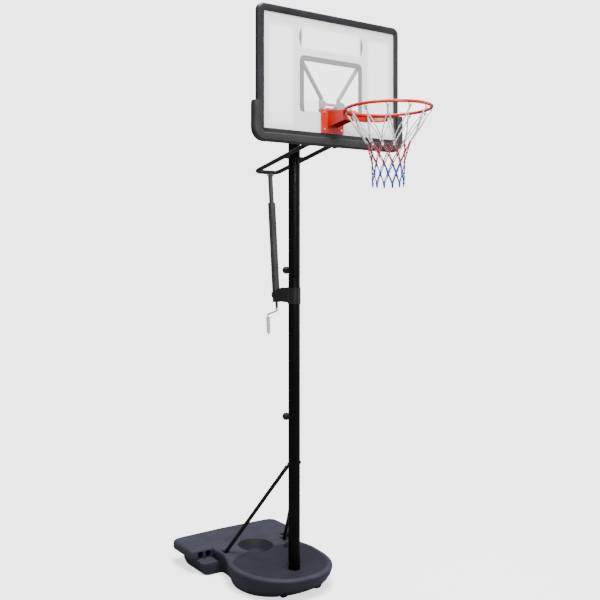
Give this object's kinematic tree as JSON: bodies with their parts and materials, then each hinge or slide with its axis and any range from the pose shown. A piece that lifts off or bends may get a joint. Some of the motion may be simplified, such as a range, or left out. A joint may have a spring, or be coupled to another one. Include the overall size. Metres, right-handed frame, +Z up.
{
  "type": "portable basketball hoop",
  "caption": "Portable basketball hoop: ballasted wheeled base, braced steel pole, parallel-arm lift with hand-cranked screw jack, framed clear board, steel rim and net.",
  "frame": {"origin": "on the pole's axis, on the flat underside of the base", "axes": "+Z up, -Y the way the board faces (towards the player), +X to the right as the player sees it"},
  "size_m": [1.172, 1.944, 3.626],
  "materials": {
    "base_plastic": "blow-moulded dark slate plastic with a fine grain",
    "black_steel": "black powder coat, semi-gloss",
    "grey_steel": "dark grey powder coat, satin",
    "zinc": "zinc-plated steel",
    "black_plastic": "moulded black plastic",
    "grip_plastic": "light grey moulded plastic",
    "wheel_plastic": "hard black plastic",
    "rim_paint": "orange-red powder coat, gloss",
    "panel": "clear acrylic-like sheet printed white, grey target",
    "pad_foam": "dark vinyl-skinned foam",
    "net_cord": "braided polyester cord in white, red and blue"
  },
  "bodies": {
    "root": {"base_tank": "base_plastic", "wheel_axle": "zinc", "pole_lower": "black_steel", "pole_middle": "black_steel", "pole_upper": "black_steel", "pole_top_cap": "black_plastic", "pole_foot_bolt": "black_steel", "brace_left": "black_steel", "brace_right": "black_steel", "brace_pole_bolt": "black_steel", "brace_foot_screw_left": "zinc", "brace_foot_screw_right": "zinc", "lower_pole_bolt": "zinc", "upper_pole_bolt": "zinc", "lower_spacer_left": "black_plastic", "lower_spacer_right": "black_plastic", "upper_spacer_left": "black_plastic", "upper_spacer_right": "black_plastic", "jack_pole_bracket": "black_steel"},
    "wheel_left": {"wheel_left": "wheel_plastic"},
    "wheel_right": {"wheel_right": "wheel_plastic"},
    "filler_cap": {"filler_cap": "black_plastic"},
    "knob_lower": {"pole_knob_lower": "black_plastic"},
    "knob_upper": {"pole_knob_upper": "black_plastic"},
    "lower_arm": {"lower_arm_frame": "grey_steel"},
    "upper_arms": {"upper_arm_left": "grey_steel", "upper_arm_right": "grey_steel"},
    "board": {"board_frame": "grey_steel", "board_pad": "pad_foam", "board_panel": "panel", "board_bracket": "grey_steel", "y_brace_left": "grey_steel", "y_brace_right": "grey_steel", "y_brace_tie": "grey_steel", "lower_board_bolt": "zinc", "upper_board_bolt": "zinc", "rim_bracket": "rim_paint", "rim_strap": "rim_paint", "rim_ring": "rim_paint", "net": "net_cord", "rim_bolt_lower_left": "zinc", "rim_bolt_lower_right": "zinc", "rim_bolt_upper_left": "zinc", "rim_bolt_upper_right": "zinc"},
    "jack_outer": {"jack_outer_tube": "grey_steel", "jack_pivot_stub_left": "zinc", "jack_pivot_stub_right": "zinc", "jack_end_block": "black_steel", "jack_guide_bush": "black_plastic"},
    "jack_inner": {"jack_inner_tube": "grey_steel", "jack_head_bolt": "zinc", "jack_nut": "zinc"},
    "crank": {"jack_screw": "black_steel", "crank_arm": "zinc"},
    "crank_grip": {"crank_grip": "grip_plastic"}
  },
  "joints": [
    {"name": "height_adjust", "type": "hinge", "parent": "root", "child": "lower_arm", "pos_m": [0, 0, 2.8], "axis": [1, 0, 0], "range_deg": [-2, 40]},
    {"name": "upper_arm_swing", "type": "hinge", "parent": "root", "child": "upper_arms", "pos_m": [0, 0, 3.016], "axis": [1, 0, 0], "range_deg": [-3, 41]},
    {"name": "board_level", "type": "hinge", "parent": "lower_arm", "child": "board", "pos_m": [0, -0.2637, 2.85798], "axis": [1, 0, 0], "range_deg": [-41, 3]},
    {"name": "jack_tilt", "type": "hinge", "parent": "root", "child": "jack_outer", "pos_m": [0, 0.195, 1.905], "axis": [1, 0, 0], "range_deg": [-1, 2]},
    {"name": "jack_extension", "type": "slide", "parent": "jack_outer", "child": "jack_inner", "axis": [0, 0.0831, 0.9965], "range_m": [-0.012, 0.2]},
    {"name": "crank_turn", "type": "hinge", "parent": "jack_outer", "child": "crank", "pos_m": [0, 0.195, 1.905], "axis": [0, 0.0831, 0.9965], "continuous": true},
    {"name": "crank_grip_spin", "type": "hinge", "parent": "crank", "child": "crank_grip", "pos_m": [0, 0.28747, 1.75048], "axis": [0, 0.0831, 0.9965], "continuous": true},
    {"name": "knob_lower_turn", "type": "hinge", "parent": "root", "child": "knob_lower", "pos_m": [0, 0.086, 1.111], "axis": [0, 1, 0], "continuous": true},
    {"name": "knob_upper_turn", "type": "hinge", "parent": "root", "child": "knob_upper", "pos_m": [0, 0.086, 2.071], "axis": [0, 1, 0], "continuous": true},
    {"name": "filler_cap_turn", "type": "hinge", "parent": "root", "child": "filler_cap", "pos_m": [0.185, 0.305, 0.15781], "axis": [0, 0, 1], "continuous": true},
    {"name": "wheel_left_spin", "type": "hinge", "parent": "root", "child": "wheel_left", "pos_m": [-0.135, -0.058, 0.046], "axis": [1, 0, 0], "continuous": true},
    {"name": "wheel_right_spin", "type": "hinge", "parent": "root", "child": "wheel_right", "pos_m": [0.135, -0.058, 0.046], "axis": [1, 0, 0], "continuous": true}
  ],
  "couplings": [
    {"joint": "upper_arm_swing", "follows": "height_adjust", "ratio": 1},
    {"joint": "board_level", "follows": "height_adjust", "ratio": -1},
    {"joint": "jack_tilt", "follows": "height_adjust", "ratio": 0.0125},
    {"joint": "jack_extension", "follows": "height_adjust", "m_per_rad": 0.275}
  ]
}
